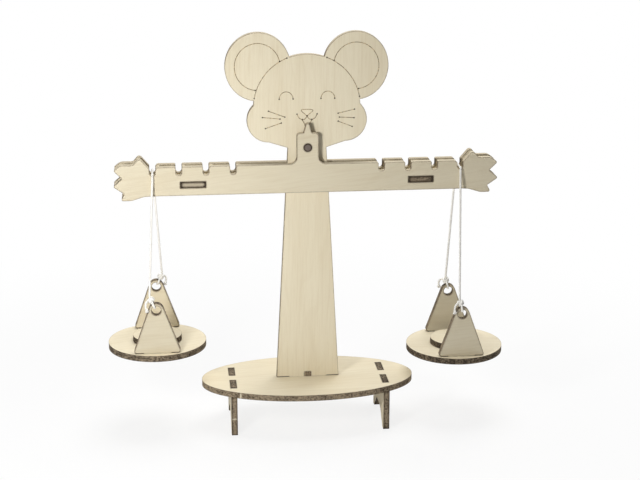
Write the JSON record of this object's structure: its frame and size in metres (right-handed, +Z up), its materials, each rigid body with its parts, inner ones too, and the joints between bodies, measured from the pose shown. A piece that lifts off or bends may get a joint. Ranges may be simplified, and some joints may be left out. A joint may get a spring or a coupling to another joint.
{
  "type": "balance scale toy",
  "caption": "Plywood balance scale toy: mouse-headed upright on an oval footed base, a notched paw-ended beam tilting on a pin, and round pans hung on cords with loose disc weights.",
  "frame": {"origin": "on the floor under the middle of the oval base", "axes": "+X along the beam to the right pan, -Y the way the mouse looks, +Z up"},
  "size_m": [0.197, 0.055, 0.197],
  "materials": {
    "plywood": "matte",
    "pin": "matte",
    "cotton_cord": "matte"
  },
  "bodies": {
    "stand": {"base_plate": "plywood", "left_leg": "plywood", "right_leg": "plywood", "upright_panel": "plywood", "rear_brace": "plywood", "pivot_pin": "pin"},
    "beam": {"front_beam_panel": "plywood", "rear_beam_panel": "plywood", "left_spacer": "plywood", "right_spacer": "plywood"},
    "left_pan": {"left_pan_disc": "plywood", "left_front_hanger": "plywood", "left_rear_hanger": "plywood", "left_cord": "cotton_cord", "left_front_knot": "cotton_cord", "left_rear_knot": "cotton_cord"},
    "right_pan": {"right_pan_disc": "plywood", "right_front_hanger": "plywood", "right_rear_hanger": "plywood", "right_cord": "cotton_cord", "right_front_knot": "cotton_cord", "right_rear_knot": "cotton_cord"},
    "left_weight": {"left_weight": "plywood"},
    "right_weight": {"right_weight": "plywood"}
  },
  "joints": [
    {"name": "beam_tilt", "type": "hinge", "parent": "stand", "child": "beam", "pos_m": [0, 0, 0.1418], "axis": [0, 1, 0], "range_deg": [-12, 7.5]},
    {"name": "left_pan_swing", "type": "hinge", "parent": "beam", "child": "left_pan", "pos_m": [-0.0745, 0, 0.1304], "axis": [0, 1, 0], "range_deg": [-8, 12]},
    {"name": "right_pan_swing", "type": "hinge", "parent": "beam", "child": "right_pan", "pos_m": [0.0745, 0, 0.1304], "axis": [0, 1, 0], "range_deg": [-10, 12]},
    {"name": "left_weight_lift", "type": "slide", "parent": "left_pan", "child": "left_weight", "axis": [0, 0, 1], "range_m": [0, 0.02]},
    {"name": "right_weight_lift", "type": "slide", "parent": "right_pan", "child": "right_weight", "axis": [0, 0, 1], "range_m": [0, 0.02]}
  ]
}
